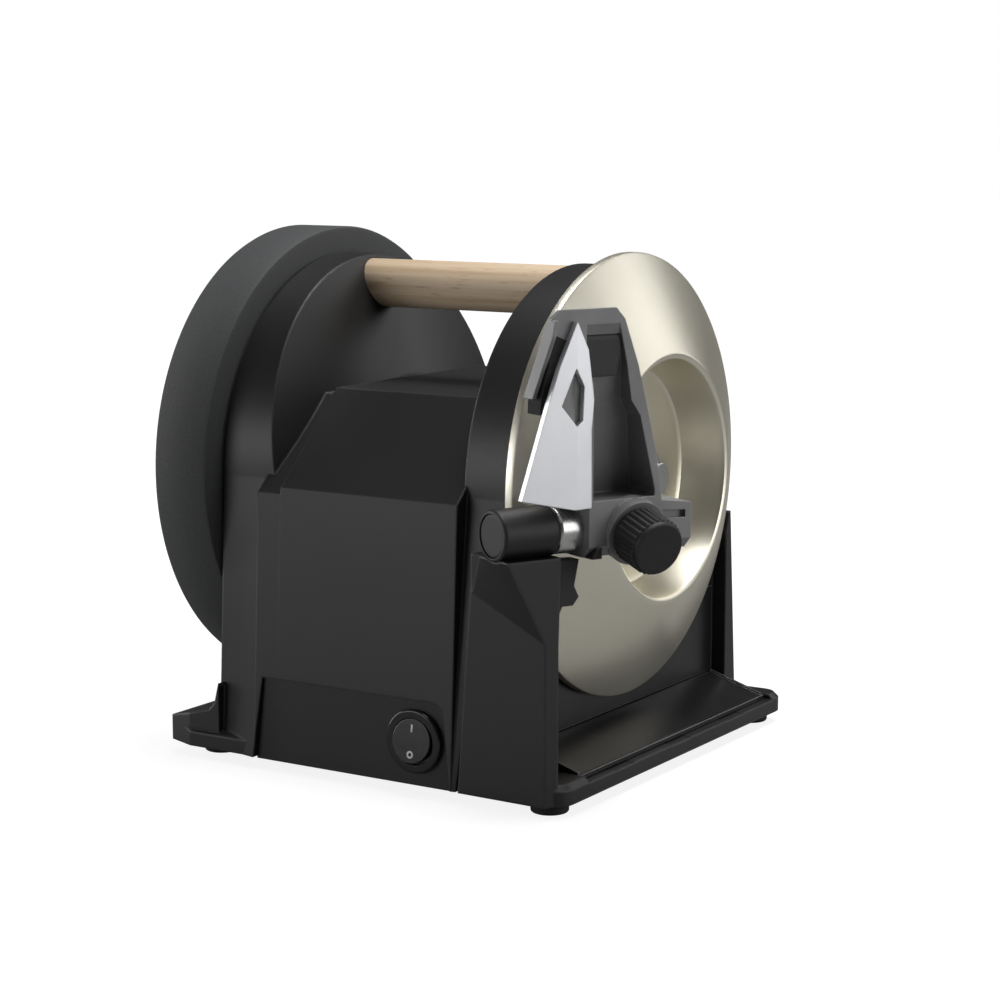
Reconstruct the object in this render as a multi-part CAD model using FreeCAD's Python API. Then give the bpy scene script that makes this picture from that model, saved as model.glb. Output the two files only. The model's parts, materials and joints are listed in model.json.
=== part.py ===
# Electric knife sharpener: a grinding disc and a honing wheel on one shaft,
# a moulded housing with a wooden handle, and a tilting knife guide.
# Millimetres, +Z up, X along the wheel shaft towards the grinding disc, -Y the front.
# Every height is given from the shaft axis until the pieces are placed at the end.

import FreeCAD, Part
import math
import os

V = FreeCAD.Vector

# Driving dimensions: stance
disc_radius = 85.0
shaft_height = disc_radius + 26.0
foot_height = 4.5
base_height = 7.5
base_left = -157.0
base_right = 24.2
base_half_depth = disc_radius + 5.0
flange_rise = 11.0
flange_tip = 2.4

# Driving dimensions: housing
column_left = -132.0
arch_left = -112.0
body_left = -101.3
arch_right = -23.0
wall_right = -5.0
arch_radius = disc_radius - 5.0
arch_radius_left = arch_radius + 1.5
front_foot = disc_radius + 6.5
front_top = disc_radius + 1.5
front_top_z = -2.0
crest_y = 50.0
crest_z = 32.5
cheek_slope = 0.39
cheek_axis_z = -35.0
cheek_apex_x = -74.6
column_top_z = -20.0
channel_depth = 2.5
groove_width = 1.4
groove_depth = 5.0
groove_foot_x = -18.9
groove_top_x = -12.9
groove_top_z = -27.8
sweep_left = 4.5
sweep_right = 4.0
wall = 5.0

# Driving dimensions: wheels and shaft
disc_hole = 47.4
disc_bulge = 18.1
disc_thickness = 3.0
cup_floor = -3.5
hub_radius = 14.0
honing_radius = disc_radius + 6.6
honing_left = -158.5
honing_width = 25.0
honing_bore = 34.0
shaft_radius = 6.0
shaft_left = -160.5
shaft_right = 14.0
bearing_outer = 11.0
bearing_length = 12.0
running_fit = 0.05
body_gap = 0.3

# Driving dimensions: handle
handle_radius = 9.6
handle_z = 69.5
handle_left = -123.0
handle_bolt_radius = 3.0

# Driving dimensions: gear train
module_slow = 1.0
teeth_wheel = 50
teeth_idler_small = 12
module_fast = 0.8
teeth_idler_large = 48
teeth_motor = 11
gear_backlash = 0.3
slow_gear_x = -40.0
fast_gear_x = -54.0
gear_width = 9.0
idler_radius = 3.0
motor_shaft_radius = 3.0
motor_left = -103.0
motor_length = 36.0
stator_side = 58.0
rotor_radius = 17.0

# Driving dimensions: knife guide, laid out in a frame turned to face the disc cone
cone_angle = math.degrees(math.atan2(disc_bulge, disc_radius - disc_hole))
barrel_radius = 9.3
barrel_length = 23.0
barrel_reach = 14.9
barrel_offset = 10.5
barrel_z = -8.5
pin_radius = 3.0
rest_angle = 15.0
rest_offset = 3.0
rest_start_z = 3.0
guide_front = 22.5
web_thickness = 3.0
plate_thickness = 2.5
knob_radius = 10.4
knob_length = 14.0
knob_u = 52.5
knob_z = -9.5

# Driving dimensions: switch, tray, feet
switch_radius = 12.0
switch_x = -39.0
switch_rise = 16.2
panel_rise = 31.6
panel_depth = 4.0
panel_sheet = 1.2
panel_gap = 0.3
tray_front = -disc_radius + 15.0
tray_back = disc_radius - 7.0
tray_outer = 19.0
tray_inner = -3.9
tray_rise = 14.5
tray_fall = 7.2
tray_sheet = 1.5
foot_radius = 7.0
corner_round = 8.0

base_z = foot_height - shaft_height
shell_top = base_z + base_height
switch_z = base_z + switch_rise
tray_top_z = base_z + tray_rise
tray_edge_z = tray_top_z - tray_fall


# Shape helpers, all coordinates from the shaft axis
def box(x0, x1, y0, y1, z0, z1):
    return Part.makeBox(x1 - x0, y1 - y0, z1 - z0, V(x0, y0, z0))


def rod(x0, x1, radius, y=0.0, z=0.0):
    return Part.makeCylinder(radius, x1 - x0, V(x0, y, z), V(1, 0, 0))


def tube(x0, x1, outer, inner, y=0.0, z=0.0):
    return rod(x0, x1, outer, y, z).cut(rod(x0 - 1, x1 + 1, inner, y, z))


def polygon_solid(points, direction):
    wire = Part.makePolygon(points + [points[0]])
    return Part.Face(wire).extrude(direction)


def prism_x(outline_yz, x0, x1):
    return polygon_solid([V(x0, y, z) for y, z in outline_yz], V(x1 - x0, 0, 0))


def prism_y(outline_xz, y0, y1):
    return polygon_solid([V(x, y0, z) for x, z in outline_xz], V(0, y1 - y0, 0))


def prism_z(outline_xy, z0, z1):
    return polygon_solid([V(x, y, z0) for x, y in outline_xy], V(0, 0, z1 - z0))


def spin_x(outline_xr, y=0.0, z=0.0):
    points = [V(x, 0, r) for x, r in outline_xr]
    face = Part.Face(Part.makePolygon(points + [points[0]]))
    solid = face.revolve(V(0, 0, 0), V(1, 0, 0), 360)
    solid.translate(V(0, y, z))
    return solid


def soften(shape, radius, pick):
    return shape.makeFillet(radius, [e for e in shape.Edges if pick(e)])


def mirrored_y(points):
    return points + [(-y, z) for y, z in reversed(points)]


# Spur gear along X with straight flanks, one tooth pointing along +Z before phase
def spur_gear(x0, x1, module, teeth, bore, phase, y, z):
    pitch = module * teeth / 2.0
    tip = pitch + module
    root = pitch - 1.25 * module
    half = math.pi / (2 * teeth) - gear_backlash / (2 * pitch)
    slope = module * math.tan(math.radians(20)) / pitch
    points = []
    for i in range(teeth):
        mid = 2 * math.pi * i / teeth + math.radians(phase)
        flank = ((-half - 1.25 * slope, root), (-half + slope, tip), (half - slope, tip), (half + 1.25 * slope, root))
        for offset, radius in flank:
            angle = mid + offset
            points.append((y + radius * math.sin(angle), z + radius * math.cos(angle)))
    gear = prism_x(points, x0, x1)
    return gear.cut(rod(x0 - 1, x1 + 1, bore, y, z))


# Housing: two arched columns joined by a body with a sloping front and back
def arch_wire(x, foot, radius):
    a = V(x, -foot, base_z)
    b = V(x, -radius, 0)
    top = V(x, 0, radius)
    c = V(x, radius, 0)
    d = V(x, foot, base_z)
    arc = Part.Arc(b, top, c).toShape()
    return Part.Wire([Part.makeLine(a, b), arc, Part.makeLine(c, d), Part.makeLine(d, a)])


def arch(x0, foot0, radius0, x1, foot1, radius1):
    return Part.makeLoft([arch_wire(x0, foot0, radius0), arch_wire(x1, foot1, radius1)], True, True)


# The inner cheek of the left arch is a wide cone whose axis lies below the shaft
left_arch = arch(column_left, front_foot - sweep_left, arch_radius_left, arch_left, front_foot, arch_radius)
left_arch = left_arch.fuse(arch(arch_left, front_foot, arch_radius, body_left, front_foot, arch_radius))
cheek_length = cheek_apex_x - column_left + 1.0
cheek = Part.makeCone(cheek_length / cheek_slope, 0, cheek_length, V(column_left - 1, 0, cheek_axis_z), V(1, 0, 0))
column_block = box(column_left - 1, arch_left, -front_foot - 1, front_foot + 1, base_z - 1, column_top_z)
left_arch = left_arch.common(cheek.fuse(column_block))
right_arch = arch(arch_right, front_foot, arch_radius, wall_right, front_foot - sweep_right, arch_radius)
front_line = [(-front_foot, base_z), (-front_top, front_top_z), (-crest_y, crest_z)]
body = prism_x(mirrored_y(front_line), body_left, arch_right + 1)

# A lower shoulder beside the arch, so that the roof of the body ends in a raised edge
low_roof = [(-front_foot, base_z), (-front_top, front_top_z - channel_depth), (-crest_y, crest_z - channel_depth)]
shoulder = prism_x(mirrored_y(low_roof), arch_left, body_left)
base_plate = box(base_left, base_right, -base_half_depth, base_half_depth, base_z, shell_top)
base_plate = soften(base_plate, corner_round,
                    lambda e: abs(e.BoundBox.XMin - base_right) < 0.01 and abs(e.Length - base_height) < 0.01)
rim_slope = 2.0
rim_edges = [e for e in base_plate.Edges if e.BoundBox.ZMin > shell_top - 0.01 and e.BoundBox.XMax > base_right - corner_round]
base_plate = base_plate.makeChamfer(rim_slope, rim_edges)
flange = prism_y([(base_left, shell_top - 0.5), (base_left, shell_top + flange_tip), (column_left - 3, shell_top + 8),
                  (column_left, shell_top + flange_rise), (column_left + 2, shell_top + flange_rise + 8),
                  (column_left + 2, shell_top - 0.5)], -base_half_depth, base_half_depth)
housing = body.fuse([left_arch, right_arch, shoulder, base_plate, flange])

# Sweep of the left flange corners
for side in (-1, 1):
    corner = [(base_left - 1, side * (base_half_depth - 5)), (base_left - 1, side * (base_half_depth + 2)),
              (base_left + 18, side * (base_half_depth + 2))]
    housing = housing.cut(prism_z(corner, base_z - 1, shell_top + flange_rise + 10))

# Wheel well over the left flange and the handle's socket in the left arch
housing = housing.cut(rod(base_left - 5, column_left, honing_radius + 3))
housing = housing.cut(rod(handle_left, body_left, handle_radius + 0.1, 0, handle_z))

# Rear post, the match of the front one, that frames the disc from behind
rear_post_top = -20.0
rear_post = prism_x([(disc_radius - 5.5, base_z), (front_foot - 2.5, base_z), (front_foot - 9.0, rear_post_top),
                     (disc_radius - 5.5, rear_post_top)], wall_right - 1, wall_right + 6.5)
housing = housing.fuse(rear_post)


# Guide frame: x' away from the disc cone, y' along the cone line, z' up
guide_origin = V(-barrel_reach * math.sin(math.radians(cone_angle)),
                 -disc_radius - barrel_reach * math.cos(math.radians(cone_angle)), 0)


def to_machine(shape):
    placed = shape.copy()
    placed.rotate(V(0, 0, 0), V(0, 0, 1), -cone_angle)
    placed.translate(guide_origin)
    return placed


def local_point(n, u, z):
    rotation = FreeCAD.Rotation(V(0, 0, 1), -cone_angle)
    return rotation.multVec(V(n, u, z)).add(guide_origin)


def along_u(u0, u1, radius, n=barrel_offset, z=barrel_z):
    return Part.makeCylinder(radius, u1 - u0, V(n, u0, z), V(0, 1, 0))


def prism_n(outline_uz, n0, n1):
    return polygon_solid([V(n0, u, z) for u, z in outline_uz], V(n1 - n0, 0, 0))


# Front post with a corbel that carries the hinge barrel ahead of the disc rim
post_back = 1.6
corbel_top_z = barrel_z - barrel_radius + 1.0
side_n = barrel_offset + barrel_radius
post_corner = local_point(side_n, 16.4, 0)
post_heel = local_point(side_n, 22.0, 0)
post_inner = local_point(post_back, 22.0, 0)
post_rim = local_point(post_back, barrel_reach, 0)
post_outline = [(groove_foot_x, -front_foot), (post_corner.x, post_corner.y), (post_heel.x, post_heel.y),
                (post_inner.x, post_inner.y), (post_rim.x, post_rim.y), (groove_foot_x, -disc_radius - 1.6)]
post = prism_z(post_outline, base_z, corbel_top_z - 1)
lean_back = prism_y([(groove_foot_x - 1, base_z), (groove_foot_x, base_z), (groove_top_x, groove_top_z),
                     (groove_top_x, corbel_top_z), (groove_foot_x - 1, corbel_top_z)], -front_foot - 20, -disc_radius)
post = post.cut(lean_back)


def corbel_foot(x, y):
    return V(x, y, corbel_left_z - corbel_fall * (x - groove_top_x))


corbel_left_z = -32.0
corbel_fall = 0.49
corbel_low = [corbel_foot(groove_top_x, -front_foot), corbel_foot(post_corner.x, post_corner.y),
              corbel_foot(post_heel.x, post_heel.y), corbel_foot(post_inner.x, post_inner.y)]
corbel_high = [local_point(post_back, 0.5, corbel_top_z), local_point(side_n, 0.5, corbel_top_z),
               local_point(side_n, barrel_length, corbel_top_z), local_point(post_back, barrel_length, corbel_top_z)]
corbel = Part.makeLoft([Part.makePolygon(corbel_low + [corbel_low[0]]),
                        Part.makePolygon(corbel_high + [corbel_high[0]])], True, True)
saddle_cut = to_machine(along_u(-2, barrel_length + 2, barrel_radius + 0.02))
housing = housing.fuse([post, corbel]).cut(saddle_cut)

# Narrow groove that parts the post from the body
groove = prism_y([(groove_foot_x - groove_width, base_z - 1), (groove_foot_x, base_z - 1), (groove_top_x, groove_top_z),
                  (groove_top_x - groove_width, groove_top_z)], -front_foot - 2, -front_foot + groove_depth)
housing = housing.cut(groove)
housing = housing.cut(rod(wall_right, 2, disc_radius + 1.5))

# Tray seat on the right of the base: a sloping bed with a low sill
bed = [(wall_right, tray_top_z - tray_sheet - 0.4), (tray_outer, tray_edge_z - tray_sheet - 0.4),
       (base_right + 1, tray_edge_z - tray_sheet - 0.4), (base_right + 1, tray_top_z + 3), (wall_right, tray_top_z + 3)]
bed_block = prism_y([(wall_right - 1, base_z + 1), (wall_right - 1, tray_top_z - tray_sheet - 0.4),
                     (tray_outer, tray_edge_z - tray_sheet - 0.4), (tray_outer, base_z + 1)],
                    tray_front - 1, tray_back + 1)
housing = housing.fuse(bed_block).cut(prism_y(bed, tray_front - 0.6, tray_back + 0.6))

# Cavity for the motor and gears, open below
inner_front = [(-front_foot + wall, base_z - 1), (-front_top + wall, front_top_z - 1), (-crest_y + 2, crest_z - wall - 1)]
cavity = prism_x(mirrored_y(inner_front), body_left - 5, arch_right - 4)
housing = housing.cut(cavity)

# Recess for the switch panel, a separate sheet with one well rounded corner
panel_top = base_z + panel_rise
panel_left_x = -108.6
panel_right_x = -26.3
panel_spread = 4.2
panel_corner = 5.0


def panel_block(inset, y0, y1):
    outline = [(panel_left_x - panel_spread + inset, base_z - 1 + inset), (panel_left_x + inset, panel_top - inset),
               (panel_right_x - inset, panel_top - inset), (panel_right_x + panel_spread - inset, base_z - 1 + inset)]
    block = prism_y(outline, y0, y1)
    right_x = panel_right_x - inset
    return soften(block, panel_corner - inset,
                  lambda e: abs(e.BoundBox.XMin - right_x) < 0.01 and abs(e.BoundBox.XMax - right_x) < 0.01)


panel_seat_y = -front_foot + panel_depth
panel_face_y = panel_seat_y - panel_sheet
housing = housing.cut(panel_block(0, -front_foot - 3, panel_seat_y))
switch_body_radius = switch_radius - 2.2

# Bores for the shaft, its bearings, the idler bush, the handle bolt and the cord gland
slow_distance = module_slow * (teeth_wheel + teeth_idler_small) / 2.0
fast_distance = module_fast * (teeth_idler_large + teeth_motor) / 2.0
idler_z = -slow_distance
motor_z = idler_z - fast_distance
gland_x = -86.0
gland_z = base_z + 22.5
gland_radius = 8.0
left_bearing_x = column_left + 3.0
right_bearing_x = wall_right - 3.0 - bearing_length
bores = rod(column_left - 2, wall_right + 2, shaft_radius + 1.5)
bores = bores.fuse([rod(left_bearing_x, left_bearing_x + bearing_length, bearing_outer),
                    rod(right_bearing_x, right_bearing_x + bearing_length, bearing_outer),
                    rod(arch_right - 5, arch_right + 8, idler_radius + 2.0, 0, idler_z),
                    rod(handle_left - 6, handle_left, handle_bolt_radius + 0.2, 0, handle_z),
                    rod(arch_right, wall_right - 3, handle_bolt_radius + 0.2, 0, handle_z)])
housing = housing.cut(rod(left_bearing_x, arch_left + 20, bearing_outer).common(
    box(left_bearing_x + bearing_length, arch_left + 20, -20, 20, -20, 20)))
housing = housing.cut(rod(arch_right - 5, right_bearing_x, bearing_outer))
housing = housing.cut(rod(arch_right - 0.2, arch_right + 6, handle_radius + 0.1, 0, handle_z))
housing = housing.cut(bores)
housing = housing.cut(Part.makeCylinder(gland_radius, 12, V(gland_x, front_foot - 10, gland_z), V(0, 1, 0)))

# Pocket in the left arch behind the notch for the handle bolt head
bolt_head_radius = 5.2
housing = housing.cut(rod(handle_left - 12, handle_left - 5, bolt_head_radius + 0.3, 0, handle_z))

# Cover recess under the base
cover_inset = 4.6
cover_thickness = 2.5
cover_box = (body_left - 12, arch_right + 2, -front_foot + cover_inset, front_foot - cover_inset)
housing = housing.cut(box(*cover_box, base_z - 1, base_z + cover_thickness))

# Bottom cover with its screws, and the rubber feet
cover = box(cover_box[0] + 0.3, cover_box[1] - 0.3, cover_box[2] + 0.3, cover_box[3] - 0.3, base_z, base_z + cover_thickness)
screw_spots = [(x, y) for x in (cover_box[0] + 6, (cover_box[0] + cover_box[1]) / 2, cover_box[1] - 6)
               for y in (cover_box[2] + 5, cover_box[3] - 5)]
screw_core = 1.6
screw_head = 3.2


def down_screw(x, y, z_head, length, head_radius=screw_head, core=screw_core):
    head = Part.makeCylinder(head_radius, 1.4, V(x, y, z_head), V(0, 0, 1))
    shank = Part.makeCylinder(core, length, V(x, y, z_head + 1.4), V(0, 0, 1))
    slot = box(x - head_radius, x + head_radius, y - 0.5, y + 0.5, z_head - 1, z_head + 0.7)
    return head.fuse(shank).cut(slot)


def screw_hole(x, y, z_head, length, head_radius=screw_head, core=screw_core):
    return Part.makeCylinder(head_radius + 0.1, 1.4, V(x, y, z_head), V(0, 0, 1)).fuse(
        Part.makeCylinder(core, length + 0.5, V(x, y, z_head + 1.4), V(0, 0, 1)))


cover_screws = []
pillars = []
cover_screw_length = 9.0
pillar_half = 4.5
for x, y in screw_spots:
    cover_screws.append(down_screw(x, y, base_z, cover_screw_length))
    y_wall = math.copysign(front_foot - wall + 0.4, y)
    y_free = y - math.copysign(pillar_half, y)
    pillars.append(box(x - pillar_half, x + pillar_half, min(y_wall, y_free), max(y_wall, y_free),
                       base_z + cover_thickness, base_z + cover_thickness + 14))
    cover = cover.cut(screw_hole(x, y, base_z, cover_screw_length))
housing = housing.fuse(pillars)
for x, y in screw_spots:
    housing = housing.cut(Part.makeCylinder(screw_core, cover_screw_length, V(x, y, base_z + 1.4), V(0, 0, 1)))
switch_body = Part.makeCylinder(switch_body_radius, 17.0, V(switch_x, panel_face_y - 1, switch_z), V(0, 1, 0))
housing = housing.cut(switch_body)

foot_spots = [(base_left + 16, -base_half_depth + 16), (base_left + 16, base_half_depth - 16),
              (base_right - 11, -base_half_depth + 10), (base_right - 11, base_half_depth - 10)]
feet = []
foot_peg = 3.0
foot_peg_height = 4.0
for x, y in foot_spots:
    pad = Part.makeCylinder(foot_radius, foot_height, V(x, y, base_z - foot_height), V(0, 0, 1))
    pad = soften(pad, 1.0, lambda e: abs(e.BoundBox.ZMax - (base_z - foot_height)) < 0.01)
    peg = Part.makeCylinder(foot_peg, foot_peg_height, V(x, y, base_z), V(0, 0, 1))
    feet.append(pad.fuse(peg))
    housing = housing.cut(Part.makeCylinder(foot_peg, foot_peg_height, V(x, y, base_z), V(0, 0, 1)))

# Grinding disc: a conical rim round a flat-bottomed cup
t = disc_thickness
disc = spin_x([(0, disc_radius), (disc_bulge, disc_hole), (disc_bulge, disc_hole - 1.5),
               (disc_bulge - 1.0, disc_hole - 2.2), (cup_floor + t, disc_hole - 6), (cup_floor + t, hub_radius + 2),
               (cup_floor + t + 2, hub_radius), (cup_floor + t + 2, shaft_radius), (cup_floor, shaft_radius),
               (cup_floor, disc_hole - 3.5), (disc_bulge - t - 1.2, disc_hole + 0.5), (-t, disc_radius - 3),
               (-t, disc_radius)])
disc_rim_round = 0.8
disc = soften(disc, disc_rim_round, lambda e: abs(e.BoundBox.ZMax - disc_radius) < 0.05 and abs(e.BoundBox.XMax) < 0.05)
nut_thickness = 6.0
disc_seat = cup_floor + t + 2
disc_washer = tube(disc_seat, disc_seat + 1.6, 11.0, shaft_radius)


def hex_nut(x0, x1, across, bore, y=0.0, z=0.0):
    r = across / math.sqrt(3)
    points = [(y + r * math.cos(math.radians(60 * i)), z + r * math.sin(math.radians(60 * i))) for i in range(6)]
    nut = prism_x(points, x0, x1).common(rod(x0, x1, r - 0.35, y, z))
    return nut.cut(rod(x0 - 1, x1 + 1, bore, y, z))


disc_nut = hex_nut(disc_seat + 1.6, disc_seat + 1.6 + nut_thickness, 18, shaft_radius)

# Honing wheel: a wide composite tyre on a moulded hub
h0 = honing_left
h1 = honing_left + honing_width
honing = spin_x([(h0, honing_radius - 1.2), (h0 + 1.2, honing_radius), (h1 - 1.2, honing_radius),
                 (h1, honing_radius - 1.2), (h1, honing_bore + 38), (h1 - 2.5, honing_bore + 36),
                 (h1 - 2.5, honing_bore), (h0 + 3, honing_bore), (h0 + 3, honing_bore + 38), (h0, honing_bore + 40)])
hub_web = 4.0
hub_mid = (h0 + h1) / 2
honing_hub = spin_x([(h0 + 3, honing_bore), (h1 - 2.5, honing_bore), (h1 - 2.5, honing_bore - 3),
                     (hub_mid + hub_web, honing_bore - 4), (hub_mid + hub_web, hub_radius), (h1 - 1.0, hub_radius - 1),
                     (h1 - 1.0, shaft_radius), (h0 + 5, shaft_radius), (h0 + 5, hub_radius - 1),
                     (hub_mid - hub_web, hub_radius), (hub_mid - hub_web, honing_bore - 4), (h0 + 3, honing_bore - 3)])
honing_spoke_holes = [rod(h0 - 1, h1 + 1, 6.5, 22.5 * math.cos(math.radians(60 * i)), 22.5 * math.sin(math.radians(60 * i)))
                      for i in range(6)]
honing_hub = honing_hub.cut(honing_spoke_holes[0].fuse(honing_spoke_holes[1:]))
honing_nut = hex_nut(h0 + 5 - nut_thickness + 2, h0 + 5, 18, shaft_radius)
honing_collar = tube(h1 - 1.0, column_left + 2.6, shaft_radius + 1.2, shaft_radius)

# Shaft with its circlips, bearings and driven gear
shaft = rod(shaft_left, shaft_right, shaft_radius)
shaft = soften(shaft, 0.8, lambda e: e.Length > 1 and abs(e.BoundBox.XMax - e.BoundBox.XMin) < 0.01)
clip_groove = 0.7
clip_width = 1.2
clip_spots = [left_bearing_x + bearing_length + 0.3, right_bearing_x - 0.3 - clip_width]
clips = []
for x in clip_spots:
    shaft = shaft.cut(tube(x, x + clip_width, shaft_radius + 1, shaft_radius - clip_groove))
    clip = tube(x, x + clip_width, shaft_radius + 1.8, shaft_radius - clip_groove)
    clips.append(clip.cut(box(x - 1, x + clip_width + 1, -2.2, 2.2, 0, shaft_radius + 4)))
bearings = [tube(x, x + bearing_length, bearing_outer, shaft_radius + running_fit) for x in (left_bearing_x, right_bearing_x)]

# Gear train: motor pinion, idler with two gears, driven gear on the wheel shaft
wheel_gear = spur_gear(slow_gear_x, slow_gear_x + gear_width, module_slow, teeth_wheel, shaft_radius,
                       180.0 + 180.0 / teeth_wheel, 0, 0)
gear_hub_radius = 12.0
wheel_gear = wheel_gear.fuse(tube(slow_gear_x + gear_width, slow_gear_x + gear_width + 4, gear_hub_radius - 2, shaft_radius))
lightening = [rod(slow_gear_x - 1, slow_gear_x + gear_width + 1, 4.0, 15.5 * math.cos(math.radians(60 * i)),
                  15.5 * math.sin(math.radians(60 * i))) for i in range(6)]
wheel_gear = wheel_gear.cut(lightening[0].fuse(lightening[1:]))
idler_small = spur_gear(slow_gear_x - 2.0, slow_gear_x + gear_width, module_slow, teeth_idler_small, idler_radius,
                        0.0, 0, idler_z)
idler_large = spur_gear(fast_gear_x, fast_gear_x + gear_width - 2, module_fast, teeth_idler_large, idler_radius,
                        180.0, 0, idler_z)
idler_neck = tube(fast_gear_x + gear_width - 2, slow_gear_x - 2.0, 5.0, idler_radius, 0, idler_z)
idler_gear = idler_large.fuse([idler_neck, idler_small])
gear_plate_x = -58.0
gear_plate_thickness = 2.0
bush_flange = 1.0
idler_right = arch_right + 6.0
idler_shaft = rod(gear_plate_x - 0.5, idler_right, idler_radius, 0, idler_z)
idler_bushes = [tube(gear_plate_x, gear_plate_x + gear_plate_thickness + bush_flange, idler_radius + 2.0,
                     idler_radius + running_fit, 0, idler_z),
                tube(arch_right - 4, arch_right + 8, idler_radius + 2.0, idler_radius + running_fit, 0, idler_z)]
motor_pinion = spur_gear(fast_gear_x, fast_gear_x + gear_width - 2, module_fast, teeth_motor, motor_shaft_radius,
                         180.0 / teeth_motor, 0, motor_z)

# Gear plate, fixed to two ribs that hang from the housing wall
plate_half = 34.0
plate_top = idler_z + 12.0
plate_bottom = motor_z - 34.0
gear_plate = box(gear_plate_x, gear_plate_x + gear_plate_thickness, -plate_half, plate_half, plate_bottom, plate_top)
gear_plate = gear_plate.cut(rod(gear_plate_x - 1, gear_plate_x + 5, idler_radius + 2.0, 0, idler_z))
gear_plate = gear_plate.cut(rod(gear_plate_x - 1, gear_plate_x + 5, motor_shaft_radius + 2.5, 0, motor_z))
plate_screw_z = [plate_top - 5, plate_bottom + 5]
plate_screw_spots = [(side * (plate_half - 5), z) for side in (-1, 1) for z in plate_screw_z]
ribs = []
for side in (-1, 1):
    y0, y1 = sorted((side * (plate_half - 9), side * (plate_half - 1)))
    for z in plate_screw_z:
        ribs.append(box(gear_plate_x + gear_plate_thickness, arch_right - 3, y0, y1, z - 4, z + 4))
housing = housing.fuse(ribs)
plate_screws = []
for y, z in plate_screw_spots:
    head = rod(gear_plate_x - 1.6, gear_plate_x, screw_head, y, z)
    shank = rod(gear_plate_x, gear_plate_x + 12, screw_core, y, z)
    plate_screws.append(head.fuse(shank))
    gear_plate = gear_plate.cut(rod(gear_plate_x - 1, gear_plate_x + 4, screw_core, y, z))
    housing = housing.cut(rod(gear_plate_x + gear_plate_thickness, gear_plate_x + 12, screw_core, y, z))

# Motor: stator stack with coils between two end brackets, rotor and fan
stator_left = motor_left + 8.0
stator_right = stator_left + motor_length - 14.0
half_stator = stator_side / 2
stator = box(stator_left, stator_right, -half_stator, half_stator, motor_z - half_stator, motor_z + half_stator)
stator = soften(stator, 6.0, lambda e: abs(e.Length - (stator_right - stator_left)) < 0.01)
stator = stator.cut(rod(stator_left - 1, stator_right + 1, rotor_radius + 5.0, 0, motor_z))
coil_ring = tube(stator_left - 4.0, stator_right + 4.0, rotor_radius + 5.0, rotor_radius + 0.6, 0, motor_z)
bracket_thickness = 2.0
bracket_left_x = stator_left - 5.0 - bracket_thickness
bracket_right_x = stator_right + 5.0
motor_bush = motor_shaft_radius + 2.5
brackets = []
for x, inner in ((bracket_left_x, 1), (bracket_right_x, -1)):
    plate = box(x, x + bracket_thickness, -half_stator, half_stator, motor_z - half_stator, motor_z + half_stator)
    skirt_x = x + bracket_thickness if inner > 0 else x - 5.0
    for sy in (-1, 1):
        for sz in (-1, 1):
            lug = rod(skirt_x, skirt_x + 5.0, 4.0, sy * (half_stator - 6), motor_z + sz * (half_stator - 6))
            plate = plate.fuse(lug)
    plate = plate.cut(rod(x - 8, x + 8, motor_bush, 0, motor_z))
    brackets.append(plate)
motor_bolts = []
for sy in (-1, 1):
    for sz in (-1, 1):
        y = sy * (half_stator - 6)
        z = motor_z + sz * (half_stator - 6)
        hole = rod(bracket_left_x - 1, gear_plate_x + 6, 2.0, y, z)
        bolt = rod(bracket_left_x - 2.5, bracket_left_x, 4.0, y, z).fuse(
            rod(bracket_left_x, gear_plate_x + gear_plate_thickness, 2.0, y, z))
        motor_bolts.append(bolt)
        stator = stator.cut(hole)
        gear_plate = gear_plate.cut(hole)
        brackets = [b.cut(hole) for b in brackets]
spacers = []
for sy in (-1, 1):
    for sz in (-1, 1):
        spacers.append(tube(bracket_right_x + bracket_thickness, gear_plate_x, 4.0, 2.0, sy * (half_stator - 6),
                            motor_z + sz * (half_stator - 6)))
motor_bushes = [tube(bracket_left_x, bracket_left_x + bracket_thickness + 2, motor_bush,
                     motor_shaft_radius + running_fit, 0, motor_z),
                tube(bracket_right_x - 2, bracket_right_x + bracket_thickness, motor_bush,
                     motor_shaft_radius + running_fit, 0, motor_z)]
rotor_left = stator_left
rotor_right = stator_right
rotor = tube(rotor_left, rotor_right, rotor_radius, motor_shaft_radius, 0, motor_z)
motor_shaft_left = bracket_left_x - 1.0
motor_shaft = rod(motor_shaft_left, fast_gear_x + gear_width - 2, motor_shaft_radius, 0, motor_z)
fan_hub = tube(rotor_right, rotor_right + 2.5, 8.0, motor_shaft_radius, 0, motor_z)
blade_count = 8
blades = []
for i in range(blade_count):
    blade = box(rotor_right, rotor_right + 2.5, 7.5, rotor_radius - 1, -0.5, 0.5)
    blade.rotate(V(0, 0, 0), V(1, 0, 0), 360.0 * i / blade_count)
    blade.translate(V(0, 0, motor_z))
    blades.append(blade)
fan = fan_hub.fuse(blades)

# Run capacitor and terminal block on the bottom cover
cap_radius = 9.0
cap_lift = 2.5
capacitor = Part.makeCylinder(cap_radius, 34, V(-95, 48, base_z + cover_thickness + cap_radius + cap_lift), V(1, 0, 0))
cap_saddle = box(-88, -70, 41, 55, base_z + cover_thickness, base_z + cover_thickness + cap_radius)
cap_saddle = cap_saddle.cut(capacitor)
terminal = box(-60, -36, 44, 56, base_z + cover_thickness, base_z + cover_thickness + 11)
for i in range(3):
    terminal = terminal.cut(Part.makeCylinder(1.8, 6, V(-56 + 8 * i, 50, base_z + cover_thickness + 6), V(0, 0, 1)))

# Cord gland in the back wall, without a cord
gland = Part.makeCylinder(gland_radius, 9.0, V(gland_x, front_foot - 9.0, gland_z), V(0, 1, 0))
gland = gland.fuse(Part.makeCone(gland_radius + 2.5, gland_radius - 1, 8.0, V(gland_x, front_foot - 0.2, gland_z), V(0, 1, 0)))
gland = gland.cut(Part.makeCylinder(3.6, 30, V(gland_x, front_foot - 12, gland_z), V(0, 1, 0)))

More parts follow.
